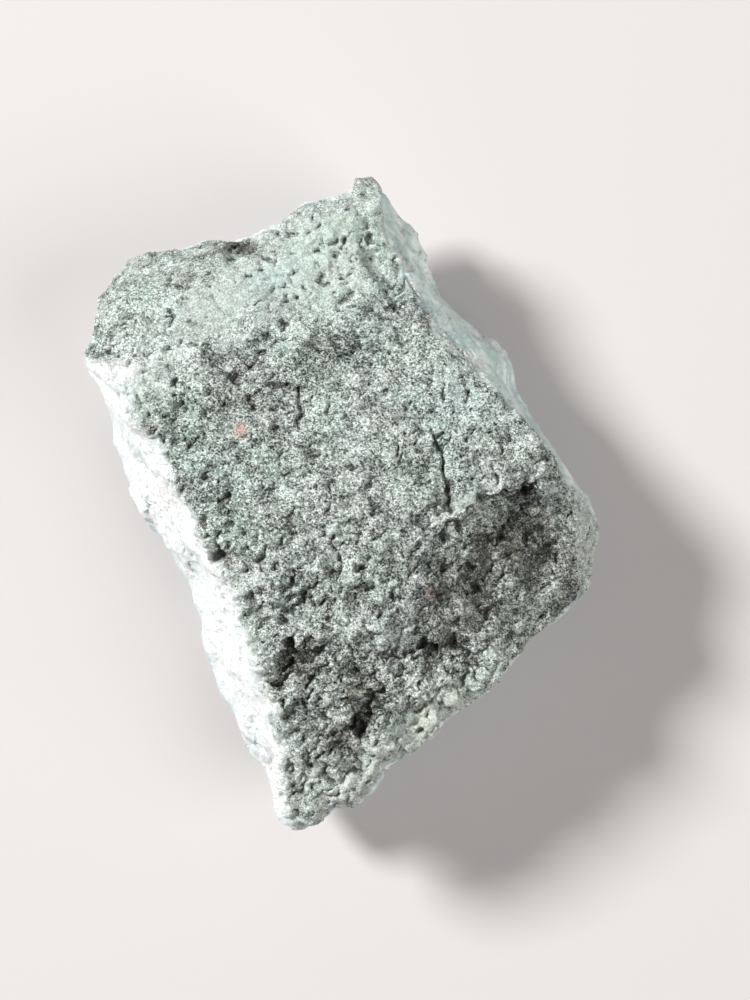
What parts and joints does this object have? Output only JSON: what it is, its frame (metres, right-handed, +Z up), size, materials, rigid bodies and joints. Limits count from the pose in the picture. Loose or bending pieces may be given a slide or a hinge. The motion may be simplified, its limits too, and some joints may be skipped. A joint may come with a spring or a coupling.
{
  "type": "rough larimar stone",
  "caption": "Rough piece of blue pectolite with a granular grey-green matrix face on top, pale broken sides and a level patch underneath to rest on.",
  "frame": {"origin": "middle of the bounding box, on the surface that the stone rests on", "axes": "+Z up through the matrix face, +Y along the longest extent towards the peaked end, +X across"},
  "size_m": [0.0528, 0.065, 0.0209],
  "materials": {
    "larimar_in_matrix": null
  },
  "bodies": {
    "root": {"larimar_stone": "larimar_in_matrix"}
  },
  "joints": []
}
